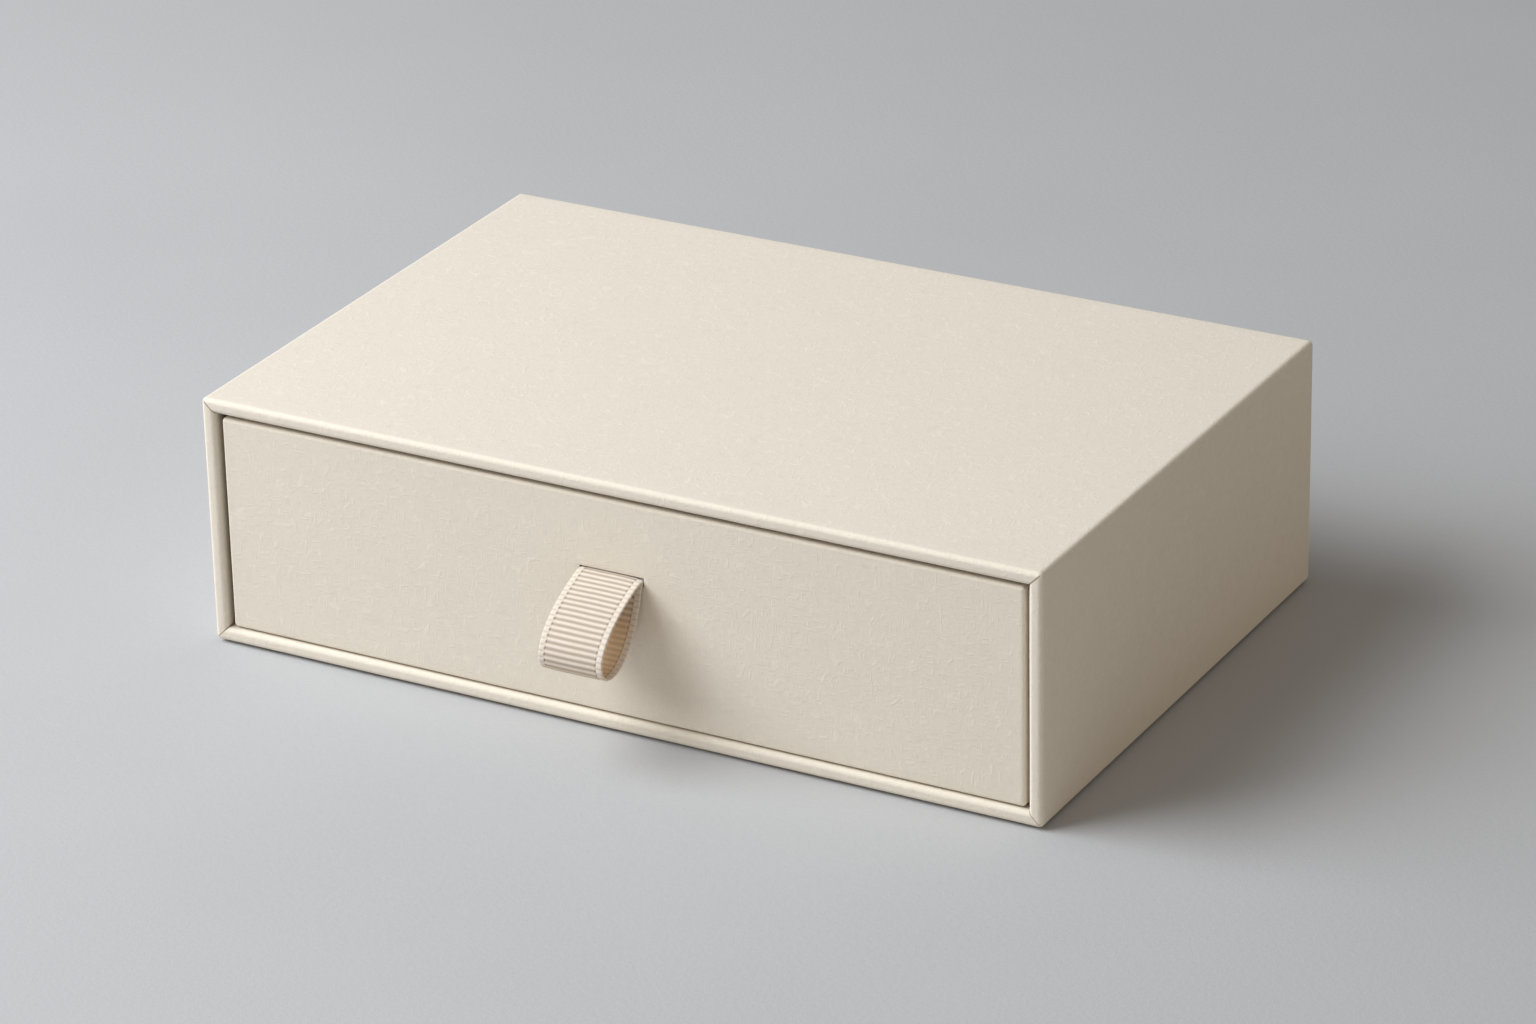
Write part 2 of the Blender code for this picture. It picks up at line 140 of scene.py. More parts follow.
# Weave of the ribbon
RIB_PITCH = 1.37 * MM
RIB_HEIGHT = 0.17 * MM
VALLEY_HALF = 0.14 * MM
SELVEDGE = 1.6 * MM
SELVEDGE_RELIEF = 0.09 * MM
SELVEDGE_ROUNDING = 0.36 * MM
STITCH_DEPTH = 0.06 * MM
THREAD_PITCH = 0.27 * MM
ZIGZAG = 0.13

# Linear colours
CREAM = (0.797, 0.728, 0.622)
LINING = (0.800, 0.745, 0.660)
# Seam colour, also used for the painted shade inside the sleeve's mouth
SEAM_AND_GAP_SHADE = (0.30, 0.22, 0.13)
BOARD_DARK = (0.26, 0.24, 0.21)
BOARD_LIGHT = (0.40, 0.375, 0.34)
BOARD_LAYER = (0.50, 0.47, 0.43)
TAPE_DARK = (0.42, 0.285, 0.155)
TAPE_LIGHT = (0.54, 0.38, 0.225)
YARN_DARK = (0.84, 0.74, 0.63)
YARN_LIGHT = (0.90, 0.81, 0.71)
# Painted shade between the ribbon's threads and in the valleys between its ribs
SHADE_BETWEEN_THREADS = (0.60, 0.48, 0.36)
SHADE_BETWEEN_RIBS = (0.29, 0.205, 0.13)
STITCHES = (0.20, 0.155, 0.11)
# Painted warm shade, for the ribbon inside and under its loop
LOOP_SHADE_TINT = (1.0, 0.87, 0.68)
FLOOR_DARK = (0.50, 0.503, 0.512)
FLOOR_LIGHT = (0.52, 0.523, 0.532)
WORLD = (1.0, 0.922, 0.84)
WORLD_STRENGTH = 0.25

# Turn and stretch of the paper's fibres, in their three directions
FIBRES = (
    ((0.3, 0.5, 0.4), (1, 0.2, 0.2)),
    ((0.9, 0.2, 1.7), (0.2, 1, 0.2)),
    ((0.4, 1.1, 2.6), (0.2, 0.2, 1)),
)

# Studio: name, place, aim, size, power and colour of each lamp
LAMPS = (
    ("key_light", (-0.842, -0.537, 0.939), (0, 0, 0.03), 1.1, 26.0, (0.915, 0.955, 1.0)),
    ("front_light", (0.25, -1.6, 0.35), (0, 0, 0.03), 0.8, 1.4, (1.0, 0.88, 0.60)),
    ("fill_light", (1.2, 0.1, 0.22), (0.1, 0, 0.03), 0.5, 0.95, (1.0, 0.83, 0.58)),
)
FLOOR_HALF = 12.0
FLOOR_LEVEL = -0.6 * MM

# Camera, as worked out from the photograph's edges
CAMERA_PLACE = (0.6022, -1.0756, 0.5879)
CAMERA_RIGHT = (0.8771, 0.4800, -0.0198)
CAMERA_AHEAD = (-0.4438, 0.7938, -0.4158)
CAMERA_LENS = 139.4
SENSOR_WIDTH = 36
CLIP_START = 0.05
CLIP_END = 60


# Numbers and meshes


def divided(stops, step):
    """Places from the first stop to the last, through every stop, about a step apart."""
    places = [np.array(stops[:1], float)]
    for start, end in zip(stops[:-1], stops[1:]):
        count = max(1, round(abs(end - start) / step))
        places.append(np.linspace(start, end, count + 1)[1:])
    return np.concatenate(places)


def smooth_step(value, low, high):
    """0 up to low, 1 from high, and 3t^2 - 2t^3 between them."""
    share = np.clip((value - low) / (high - low), 0, 1)
    return share * share * (3 - 2 * share)


def bell(value, width):
    """Gauss curve of height 1 about zero."""
    return np.exp(-np.square(value / width))


def ripple(first, second, length, seed):
    """Unevenness between -1 and 1: the mean of seven sine waves in scattered directions.

    The wave lengths lie between 0.6 and 2.2 times the length.
    """
    waves = 7
    draw = np.random.default_rng(seed)
    heading = draw.uniform(0, WHOLE_TURN, waves)
    number = WHOLE_TURN / (length * draw.uniform(0.6, 2.2, waves))
    phase = draw.uniform(0, WHOLE_TURN, waves)
    total = sum(
        np.sin(k * (np.cos(a) * first + np.sin(a) * second) + p)
        for a, k, p in zip(heading, number, phase)
    )
    return total / waves


def distances_along(points):
    """Distance of each point from the first, measured along the line through them all."""
    return np.concatenate([[0], np.cumsum(np.linalg.norm(np.diff(points, axis=0), axis=1))])


def interpolated(places, known, values):
    """Rows of values at the places, on straight lines between the rows at the known places."""
    return np.column_stack([np.interp(places, known, column) for column in values.T])


def signed_volume(points, faces):
    """Volume inside quads: the sum of the signed tetrahedra from the origin to both halves."""
    a, b, c, d = (points[faces[:, corner]] for corner in range(4))
    return np.einsum("ij,ij->", a, np.cross(b, c) + np.cross(c, d)) / 6


def mesh_object(name, points, faces, marks, weave=None):
    """A smooth object of quads turned outwards, with point attributes and a UV map."""
    if signed_volume(points, faces) < 0:
        faces = faces[:, ::-1]
    mesh = bpy.data.meshes.new(name)
    mesh.vertices.add(len(points))
    mesh.vertices.foreach_set("co", points.astype(np.float32).ravel())
    mesh.loops.add(faces.size)
    mesh.loops.foreach_set("vertex_index", faces.astype(np.int32).ravel())
    mesh.polygons.add(len(faces))
    mesh.polygons.foreach_set("loop_start", np.arange(0, faces.size, 4, dtype=np.int32))
    mesh.update(calc_edges=True)
    mesh.validate()
    for mark, values in marks.items():
        attribute = mesh.attributes.new(mark, "FLOAT", "POINT")
        attribute.data.foreach_set("value", values.astype(np.float32).ravel())
    if weave is not None:
        layer = mesh.uv_layers.new(name="weave")
        layer.data.foreach_set("uv", weave[faces.ravel()].astype(np.float32).ravel())
    mesh.shade_smooth()
    piece = bpy.data.objects.new(name, mesh)
    bpy.context.scene.collection.objects.link(piece)
    return piece


def torus_faces(rows, columns):
    """Quads of a grid whose last row joins the first, and whose last column joins the first."""
    row = np.arange(rows)[:, None]
    column = np.arange(columns)[None, :]
    below = (row + 1) % rows
    right = (column + 1) % columns
    corners = (
        row * columns + column,
        row * columns + right,
        below * columns + right,
        below * columns + column,
    )
    return np.stack(corners, axis=-1)


# Papers


def profile_line(corners, radius, stops, step):
    """Points (level, along), outward normals, fold marks and lengths of a folded profile.

    Every corner turns right by a quarter and is an arc of the radius about a centre to the
    right. The outward side is on the left. The fold mark is 1 half way round an arc and falls
    to 0 at its ends as a sine. Stops are extra distances along a run, by the run's number.
    """
    corners = np.asarray(corners, float)
    runs = np.diff(corners, axis=0)
    lengths = np.linalg.norm(runs, axis=1)
    ahead = runs / lengths[:, None]
    left = np.column_stack([-ahead[:, 1], ahead[:, 0]])
    turn = np.linspace(0, QUARTER_TURN, FOLD_STEPS + 1)
    points, normals, folds = [], [], []
    last = len(runs) - 1
    for index in range(len(runs)):
        start = radius if index else 0
        end = lengths[index] - (radius if index < last else 0)
        places = divided([start, *stops.get(index, ()), end], step)
        places = places[1 if index else 0 : None if index == last else -1]
        points.append(corners[index] + places[:, None] * ahead[index])
        normals.append(np.repeat(left[index : index + 1], len(places), axis=0))
        folds.append(np.zeros(len(places)))
        if index < last:
            spoke = np.cos(turn)[:, None] * left[index] + np.sin(turn)[:, None] * ahead[index]
            centre = corners[index + 1] - radius * ahead[index] - radius * left[index]
            points.append(centre + radius * spoke)
            normals.append(spoke)
            folds.append(np.sin(2 * turn))
    points = np.vstack(points)
    return points, np.vstack(normals), np.concatenate(folds), distances_along(points)


def rounded_outlines(half_across, half_up, radius, steps, stops, step):
    """Rings round rounded rectangles, one for each half size and radius.

    Returns places and outward normals in (across, up), each column's signed distance from the
    middle of its nearest corner, its side, and how far round an arc it is. The steps are
    distances from a corner's middle along the outline, and a column near a corner keeps its
    distance on every ring. Between corners the columns divide the side in fixed fractions, so
    that on the first ring of the largest size they pass through the stops.
    """
    places, normals, distances, sides, arcs = [], [], [], [], []
    widest = int(np.argmax(half_across))
    sweep = radius[:, None] * QUARTER_TURN / 2
    for side in range(4):
        turn = side * QUARTER_TURN
        facing = np.array([math.cos(turn), math.sin(turn)])
        tangent = np.array([-math.sin(turn), math.cos(turn)])
        half, reach = (half_up, half_across) if side % 2 == 0 else (half_across, half_up)
        half, reach, r = half[:, None], reach[:, None], radius[:, None]
        angle = np.clip(QUARTER_TURN / 2 - steps / r, 0, None)
        straight = np.clip(steps - sweep, 0, None)
        near = half - r + r * np.sin(angle) - straight
        out = reach - r + r * np.cos(angle)
        edge = near[:, -1:]
        middle = divided([-edge[widest, 0], *stops.get(side, ()), edge[widest, 0]], step)[1:-1]
        fraction = middle / edge[widest, 0]
        along = np.hstack([-near, fraction * edge, near[:, :0:-1]])
        out = np.hstack([out, np.repeat(reach, len(fraction), axis=1), out[:, :0:-1]])
        lean = np.hstack([-np.sin(angle), 0 * fraction * edge, np.sin(angle)[:, :0:-1]])
        upright = np.sqrt(1 - lean**2)
        places.append(along[..., None] * tangent + out[..., None] * facing)
        normals.append(lean[..., None] * tangent + upright[..., None] * facing)
        arcs.append(np.sin(2 * np.arcsin(np.abs(lean))))
        far = np.full(len(fraction), FAR_FROM_CORNER)
        distances.append(np.concatenate([steps, far, -steps[:0:-1]]))
        sides.append(np.full(along.shape[1], side))
    return (
        np.concatenate(places, axis=1),
        np.concatenate(normals, axis=1),
        np.concatenate(distances),
        np.concatenate(sides),
        np.concatenate(arcs, axis=1),
    )


def wrapped_paper(
    name, corners, fold_radius, half_sizes, place, relief, side_stops, stops=None, hole=None
):
    """A covering paper: a folded profile carried round the outline, with its thickness.

    Place carries (outline, along) into the room. The outer face is moved along its normal by
    the relief, and the inner face is the outer one moved back by the paper's thickness. The two
    are joined at both ends of the profile. Hole gives the row and column ranges that are left
    open, with the paper's cut edge round them.
    """
    line, line_normals, folds, length = profile_line(
        corners, fold_radius, stops or {}, PAPER_GRID
    )
    level = line[:, 0]
    outline, outline_normals, from_corner, side, arc = rounded_outlines(
        half_sizes[0] - level,
        half_sizes[1] - level,
        np.maximum(fold_radius - level, INNER_FOLD_RADIUS),
        CORNER_STEPS,
        side_stops,
        PAPER_GRID,
    )
    rows, columns = outline.shape[:2]
    along = np.repeat(line[:, 1:], columns, axis=1)
    facing = place(
        -line_normals[:, :1, None] * outline_normals,
        np.repeat(line_normals[:, 1:], columns, axis=1),
        direction=True,
    )
    facing /= np.linalg.norm(facing, axis=-1, keepdims=True)
    # Each entry has one value for each row, for each column or for each place of the grid
    sheet = {
        "level": level[:, None],
        "along": along,
        "length": length[:, None],
        "fold": folds[:, None],
        "from_corner": from_corner[None, :],
        "side": side[None, :],
        "arc": arc,
        "across": outline[..., 0],
        "up": outline[..., 1],
    }
    depth, seam = relief(sheet)
    # The fold mark is painted paler in the finish, partly as wear and partly as a painted
    # highlight.
    fold = np.maximum(sheet["fold"], arc * (sheet["level"] < WEAR_AND_HIGHLIGHT_LEVEL))
    outer = place(outline, along) + depth[..., None] * facing
    inner = outer - PAPER * facing
    both = np.concatenate([outer, inner[::-1]])
    faces = torus_faces(2 * rows, columns)
    if hole:
        faces = cut_hole(faces, hole(sheet), rows, columns)
    marks = {"fold": fold, "seam": seam}
    marks = {mark: np.concatenate([values, values[::-1]]) for mark, values in marks.items()}
    return mesh_object(name, both.reshape(-1, 3), faces.reshape(-1, 4), marks)


def cut_hole(faces, hole, rows, columns):
    """Leaves out the cells of a hole in both faces of a paper, and closes its cut edge.

    The cells run from the first row to the second and from the first column to the second. A
    quad of the cut edge goes along a side of the hole on the outer face and back on the inner.
    """
    top, bottom, left, right = hole
    keep = np.ones(faces.shape[:2], bool)
    keep[top:bottom, left:right] = False
    mirror = 2 * rows - 1
    keep[mirror - bottom : mirror - top, left:right] = False
    across = np.arange(left, right + 1)
    down = np.arange(top, bottom + 1)
    ring_rows = np.concatenate([
        np.full(len(across), top), down[1:], np.full(len(across), bottom)[1:], down[::-1][1:]
    ])
    ring_columns = np.concatenate([
        across, np.full(len(down), right)[1:], across[::-1][1:], np.full(len(down), left)[1:]
    ])
    outer = ring_rows * columns + ring_columns
    inner = (mirror - ring_rows) * columns + ring_columns
    edge = np.column_stack([outer[:-1], outer[1:], inner[1:], inner[:-1]])
    return np.vstack([faces[keep], edge])


def mitre(sheet, start, end):
    """Depth and mark of the mitred seam where two turned-in flaps meet at a corner.

    The seam is a narrow bell in the distance from the corner's middle. The flap on one side
    lies a little lower and rises again away from the seam. Both fade at the seam's two ends.
    """
    length, distance = sheet["length"], sheet["from_corner"]
    ends = smooth_step(length, start, start + 0.6 * MM)
    ends = ends * (1 - smooth_step(length, end - 0.8 * MM, end))
    lowered = smooth_step(-distance, 0, 0.05 * MM) * (1 - smooth_step(-distance, 0.3 * MM, 3 * MM))
    depth = MITRE_DEPTH * bell(distance, MITRE_WIDTH) + FLAP_STEP * lowered
    return -depth * ends, bell(distance, MITRE_LINE) * ends


def unevenness(sheet, wave, flat_height, fold_height, seed):
    """Depth of a glued paper's waves, always inwards: long on the flats and short on folds."""
    flats = ripple(sheet["across"], sheet["along"] + sheet["up"], wave, seed) - 1
    folds = ripple(sheet["across"] + sheet["up"], sheet["along"], FOLD_WAVE, seed + 2) - 1
    return flat_height * flats + fold_height * folds * np.maximum(sheet["fold"], sheet["arc"])


def overlap(distance, fade):
    """Depth past the edge of an overlap: a steep step down, which then fades away."""
    step = smooth_step(distance, -OVERLAP_STEP, 0) * (1 - smooth_step(distance, 0, fade))
    return -OVERLAP_STEP * step


def sleeve_relief(sheet):
    """Relief and seam mark of the sleeve's paper, with mitred seams at the mouth and the back.

    The paper overlaps itself on the underside, along a line near the left edge. Inside the
    mouth the seam mark also carries painted shade: the turned-in paper is darkened like a seam,
    so that the gap round the drawer looks dark.
    """
    length = sheet["length"]
    total = length[-1, 0]
    mouth, mouth_seam = mitre(sheet, TURN_IN - 2.4 * MM, TURN_IN + WALL - 0.4 * MM)
    back, back_seam = mitre(sheet, total - BACK_FLAP + 0.2 * MM, total)
    depth = mouth + back + unevenness(sheet, 34 * MM, 0.022 * MM, 0.018 * MM, seed=3)
    underneath = (sheet["side"] == DOWN) * (sheet["level"] < OUTER_FACE)
    from_overlap = sheet["across"] + SLEEVE_SIZE[0] / 2 - SLEEVE_OVERLAP
    depth = depth + overlap(from_overlap, 9 * MM) * underneath
    # Painted shade: the turned-in paper inside the mouth is darkened like a seam, so that the gap
    # round the drawer looks dark.
    painted_gap_shade = 1 - smooth_step(length, TURN_IN - 2.8 * MM, TURN_IN - 1.5 * MM)
    return depth, np.maximum(np.maximum(mouth_seam, back_seam), painted_gap_shade)


def sleeve_paper():
    """The sleeve's paper, turned in at the mouth and over the edges of the back."""
    depth = SLEEVE_SIZE[1]
    corners = ((WALL, TURN_IN), (WALL, 0), (0, 0), (0, depth), (BACK_FLAP, depth))
    half = (SLEEVE_SIZE[0] / 2, SLEEVE_SIZE[2] / 2)

    def place(outline, along, direction=False):
        origin = np.zeros(3) if direction else np.array([0, SLEEVE_LOW[1], half[1]])
        return np.stack([outline[..., 0], along, outline[..., 1]], axis=-1) + origin

    edge = SLEEVE_OVERLAP - half[0]
    piece = wrapped_paper(
        "sleeve_paper",
        corners,
        SLEEVE_FOLD_RADIUS,
        half,
        place,
        sleeve_relief,
        side_stops={DOWN: (edge - OVERLAP_STEP, edge - OVERLAP_STEP / 2, edge)},
    )
    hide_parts("sleeve_wrap")
    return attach(piece, "sleeve")


def drawer_relief(sheet):
    """Relief and seam mark of the drawer's paper, with mitred seams on the rim and the base.

    The front strip ends on both side walls in a step. Round the ribbon's slot the paper dips
    towards the cut edge.
    """
    side, total = sheet["side"], sheet["length"][-1, 0]
    outer_face = sheet["level"] < OUTER_FACE
    rim, rim_seam = mitre(sheet, total - TURN_IN - 2.2 * MM, total - TURN_IN + 1.6 * MM)
    base, base_seam = mitre(sheet, 0, TURN_IN - 0.4 * MM)
    depth = rim + base + unevenness(sheet, 30 * MM, 0.02 * MM, 0.015 * MM, seed=11)
    from_overlap = sheet["up"] + DRAWER_SIZE[1] / 2 - DRAWER_OVERLAP
    at_side = ((side == RIGHT) | (side == LEFT)) & outer_face
    depth = depth + overlap(from_overlap, 14 * MM) * at_side
    up = sheet["along"] - SLOT_UP
    beyond_across = np.clip(np.abs(sheet["across"]) - SLOT_HALF_WIDTH, 0, None)
    beyond_up = np.clip(np.maximum(up - SLOT_TOP, -SLOT_HALF_HEIGHT - up), 0, None)
    lip = bell(np.hypot(beyond_across, beyond_up), LIP_WIDTH) * (side == DOWN) * outer_face
    return depth - LIP_DIP * lip, np.maximum(rim_seam, base_seam)


def slot_hole(sheet):
    """First and last row and column of the slot in the drawer's front."""
    near = 0.001 * MM
    level, up = sheet["level"][:, 0], sheet["along"][:, 0] - SLOT_UP
    inside = (up > -SLOT_HALF_HEIGHT - near) & (up < SLOT_TOP + near)
    rows = np.flatnonzero((level < OUTER_FACE) & inside)
    across = sheet["across"][rows[0]]
    columns = np.flatnonzero(
        (sheet["side"][0] == DOWN) & (np.abs(across) < SLOT_HALF_WIDTH + near)
    )
    return rows[0], rows[-1], columns[0], columns[-1]


def drawer_paper():
    """The drawer's paper, under the base, up the walls and turned in over the rim."""
    height = DRAWER_SIZE[2]
    corners = ((TURN_IN, 0), (0, 0), (0, height), (WALL, height), (WALL, height - TURN_IN))
    half = (DRAWER_SIZE[0] / 2, DRAWER_SIZE[1] / 2)

    def place(outline, along, direction=False):
        origin = np.array([0, DRAWER_LOW[1] + half[1], DRAWER_LOW[2]])
        origin = np.zeros(3) if direction else origin
        return np.stack([outline[..., 0], outline[..., 1], along], axis=-1) + origin

    lip_steps = MM * np.array([1.6, 0.9, 0.5, 0.25, 0.1, 0])
    below = SLOT_UP - SLOT_HALF_HEIGHT - lip_steps
    above = SLOT_UP + SLOT_TOP + lip_steps[::-1]
    left = -SLOT_HALF_WIDTH - lip_steps
    right = SLOT_HALF_WIDTH + lip_steps[::-1]
    edge = DRAWER_OVERLAP - half[1]
    steps = np.array([edge - OVERLAP_STEP, edge - OVERLAP_STEP / 2, edge])
    piece = wrapped_paper(
        "drawer_paper",
        corners,
        DRAWER_FOLD_RADIUS,
        half,
        place,
        drawer_relief,
        side_stops={RIGHT: steps, LEFT: -steps[::-1], DOWN: (*left, *right)},
        stops={1: (*below, *above)},
        hole=slot_hole,
    )
    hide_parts("drawer_wrap")
    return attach(piece, "drawer")


def drawer_lining():
    """The paper strip inside the drawer's walls, pressed over the two ends of the ribbon.

    A ring round the inside of the walls is drawn up from the floor. On the front wall it stands
    off by the ribbon's thickness, times a smooth step across and up at the ribbon's outline, and
    comes back by a third over the last millimetre below its top edge.
    """
    half = np.array([LINING_HIGH[0], (LINING_HIGH[1] - LINING_LOW[1]) / 2])
    middle = (LINING_HIGH[1] + LINING_LOW[1]) / 2
    hump = RIBBON_WIDTH / 2 + LINING_MARGIN
    foot, floor, rim = LOWER_TAIL_LOW[2] - LINING_SLOPE, LINING_LOW[2], LINING_HIGH[2]
    across_stops = divided([-hump - LINING_SLOPE, -hump, hump, hump + LINING_SLOPE], 0.3 * MM)
    up = divided([floor, foot, LOWER_TAIL_LOW[2], rim], 1.2 * MM)
    up = np.union1d(up, np.linspace(foot, LOWER_TAIL_LOW[2], 9))
    size = np.full(len(up), 1.0)
    outline, normals, _, side, _ = rounded_outlines(
        half[0] * size,
        half[1] * size,
        LINING_FOLD_RADIUS * size,
        LINING_CORNER_STEPS,
        {DOWN: tuple(across_stops)},
        LINING_GRID,
    )
    height = np.broadcast_to(up[:, None], outline.shape[:2])
    across = smooth_step(-np.abs(outline[..., 0]), -hump - LINING_SLOPE, -hump)
    upward = smooth_step(height, foot, LOWER_TAIL_LOW[2])
    upward = upward * (1 - 0.35 * smooth_step(height, rim - MM, rim))
    stand_off = (RIBBON_THICKNESS + GLUE_LINE) * across * upward * (side == DOWN)
    wavy = 0.02 * MM * (ripple(outline[..., 0] + outline[..., 1], height, 16 * MM, seed=17) + 1)
    outer = outline - (stand_off + wavy)[..., None] * normals
    outer, inner = (
        np.stack([ring[..., 0], ring[..., 1] + middle, height], axis=-1)
        for ring in (outer, outer - PAPER * normals)
    )
    points = np.concatenate([outer, inner[::-1]])
    faces = torus_faces(*points.shape[:2])
    blank = {mark: np.zeros(points.shape[:2]) for mark in ("fold", "seam")}
    piece = mesh_object("drawer_lining", points.reshape(-1, 3), faces.reshape(-1, 4), blank)
    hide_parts("drawer_wall_lining")
    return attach(piece, "drawer")


# Ribbon


def arc_points(centre, radius, first, last):
    """Points of an arc about a centre between two angles."""
    angle = np.linspace(first, last, 24)
    return np.asarray(centre) + radius * np.column_stack([np.cos(angle), np.sin(angle)])


def ribbon_line():
    """Centre line of the ribbon as (outward, up) from the axis that the loop swings on.

    From the upper end it runs down inside the front board, out through the slot, round the
    loop as one cubic curve, back over the slot's lower lip and down inside the board again.
    """
    inside = HINGE[1] - (UPPER_TAIL_HIGH[1] - RIBBON_THICKNESS / 2)
    top = UPPER_TAIL_HIGH[2] - HINGE[2] - TAIL_SHORTER
    bottom = LOWER_TAIL_LOW[2] - HINGE[2]
    bend = GLUE_LINE + RIBBON_THICKNESS / 2
    leaving = np.array([math.cos(LEAVING_PITCH), -math.sin(LEAVING_PITCH)])
    returning = np.array([math.cos(RETURNING_PITCH), -math.sin(RETURNING_PITCH)])
    start = RIBBON_OFFSET * np.array([-leaving[1], leaving[0]])
    lip = np.array([DRAWER_FACE, -SLOT_HALF_HEIGHT])
    over_lip = QUARTER_TURN - RETURNING_PITCH
    end = lip + bend * np.array([math.cos(over_lip), math.sin(over_lip)])
    t = np.linspace(0, 1, 400)[:, None]
    pulls = (start, start + LEAVING_PULL * leaving, end + RETURNING_PULL * returning, end)
    weights = ((1 - t) ** 3, 3 * (1 - t) ** 2 * t, 3 * (1 - t) * t**2, t**3)
    curve = sum(weight * pull for weight, pull in zip(weights, pulls))
    upper_fold = (inside + bend, RIBBON_OFFSET + bend)
    lower_fold = (inside + bend, -RIBBON_OFFSET - bend)
    line = np.vstack([
        [(inside, top)],
        arc_points(upper_fold, bend, math.pi, 1.5 * math.pi),
        curve,
        arc_points(lip, bend, over_lip, QUARTER_TURN),
        arc_points(lower_fold, bend, QUARTER_TURN, math.pi),
        [(inside, bottom)],
    ])
    return even_line(line)


def even_line(line):
    """The line again in equal short steps, its corners softened by a running mean."""
    gone = distances_along(line)
    even = np.linspace(0, gone[-1], round(gone[-1] / LINE_STEP))
    line = interpolated(even, gone, line)
    reach = SOFTENED_STEPS
    window = np.hanning(2 * reach + 3)[1:-1]
    padded = np.vstack([
        2 * line[0] - line[reach:0:-1],
        line,
        2 * line[-1] - line[-2 : -reach - 2 : -1],
    ])
    return np.column_stack([
        np.convolve(column, window / window.sum(), mode="valid") for column in padded.T
    ])


def ribbon_rows(line, gone):
    """Distances of the ribbon's rows: fine in front of the board, coarse on its glued ends."""
    free = np.flatnonzero(line[:, 0] > line[0, 0] + GLUE_LINE)
    first, last = gone[free[0]], gone[free[-1]]
    coarse = RIB_PITCH / 3
    return np.concatenate([
        divided([0, first], coarse)[:-1],
        divided([first, last], RIB_PITCH / 10),
        divided([last, gone[-1]], coarse)[1:],
    ])


def ribbon_course(line, gone, rows):
    """Places of the rows on the ribbon's line, and the normals of its upper face there."""
    slope = np.gradient(line, axis=0)
    slope /= np.linalg.norm(slope, axis=1)[:, None]
    slope = interpolated(rows, gone, slope)
    slope /= np.linalg.norm(slope, axis=1)[:, None]
    return interpolated(rows, gone, line), np.column_stack([-slope[:, 1], slope[:, 0]])


def ribbon_section():
    """Places round the ribbon's section as (across, share of the half thickness, thread).

    The upper face runs from left to right, and the lower face back again with a share below
    zero. Both round off towards the two sides. The thread is 1 and -1 by turns on the ribs,
    one place for each warp thread, and 0 on the selvedges.
    """
    half = RIBBON_WIDTH / 2
    inner = half - SELVEDGE
    threads = round((inner - 0.3 * MM) / THREAD_PITCH)
    flat = THREAD_PITCH * np.arange(-threads, threads + 1)
    groove = MM * np.array([-0.14, -0.07, 0, 0.07, 0.14, 0.24, 0.4, 0.65, 0.95, 1.15])
    right = inner + groove
    turn = np.linspace(0, 0.9 * QUARTER_TURN, 7)[1:]
    rounded = half - SELVEDGE_ROUNDING + SELVEDGE_ROUNDING * np.sin(turn)
    across = np.concatenate([flat, right, rounded])
    share = np.concatenate([np.ones(len(flat) + len(right)), np.cos(turn)])
    over = (-1.0) ** np.arange(len(flat))
    over = np.concatenate([over, np.zeros(len(right) + len(rounded))])
    face = np.column_stack([across, share, over])
    mirrored = face[: len(flat) - 1 : -1] * (-1, 1, 1)
    above = np.vstack([mirrored, face])
    return np.vstack([above, above[::-1] * (1, -1, 1)])


def grosgrain(rows, length, across, thread):
    """Half thickness of the weave, its places across, and its marks.

    The half thickness is that of a valley plus the ribs, which are humps of a power of a sine
    along the ribbon. The stitched groove beside each selvedge is a bell across, and the
    selvedge is a rounded cord with a bead for each rib, which also moves its edge.
    """
    phase = rows[:, None] / RIB_PITCH
    phase = phase + 0.05 * ripple(rows[:, None] - length / 2, across, 9 * MM, seed=23)
    rib = np.abs(np.sin(math.pi * (phase + ZIGZAG * thread))) ** 0.85
    bead = np.abs(np.sin(math.pi * (phase + 0.5))) ** 0.8
    half, inner = RIBBON_WIDTH / 2, RIBBON_WIDTH / 2 - SELVEDGE
    from_middle = np.abs(across)
    in_selvedge = smooth_step(from_middle, inner - 0.05 * MM, inner + 0.3 * MM)
    cord = np.sqrt(np.clip(1 - ((from_middle - inner - 0.95 * MM) / MM) ** 2, 0, 1))
    ribbed = VALLEY_HALF + RIB_HEIGHT * rib
    corded = VALLEY_HALF + SELVEDGE_RELIEF * (cord + bead)
    stitch = bell(from_middle - inner, 0.09 * MM) * (0.72 + 0.28 * np.cos(WHOLE_TURN * phase))
    woven = ribbed * (1 - in_selvedge) + corded * in_selvedge
    at_edge = smooth_step(from_middle, half - 0.9 * MM, half)
    moved = across + np.sign(across) * at_edge * SELVEDGE_RELIEF * (bead - 1)
    marks = {
        "selvedge": np.broadcast_to(in_selvedge, rib.shape),
        "valley": (1 - rib) * (1 - in_selvedge) + 0.38 * (1 - bead) * in_selvedge,
        "stitch": stitch,
    }
    return woven - STITCH_DEPTH * stitch, moved, marks


def near_slot(centre):
    """1 where the ribbon's line passes the face of the drawer, falling to 0 on both sides."""
    return bell(centre[:, 0] - DRAWER_FACE - 0.4 * MM, 2.2 * MM)


def in_front(centre):
    """1 for the part of the ribbon's line that hangs free, falling to 0 at the slot."""
    return smooth_step(centre[:, 0], 0, 4 * MM)


def end_faces(count, width):
    """Quads over the two cut ends, from the upper face straight down to the lower."""
    upper = np.arange(width // 2)
    lower = width - 1 - upper
    last = np.column_stack([upper[:-1], upper[1:], lower[1:], lower[:-1]])
    return np.vstack([last[:, ::-1], last + (count - 1) * width])


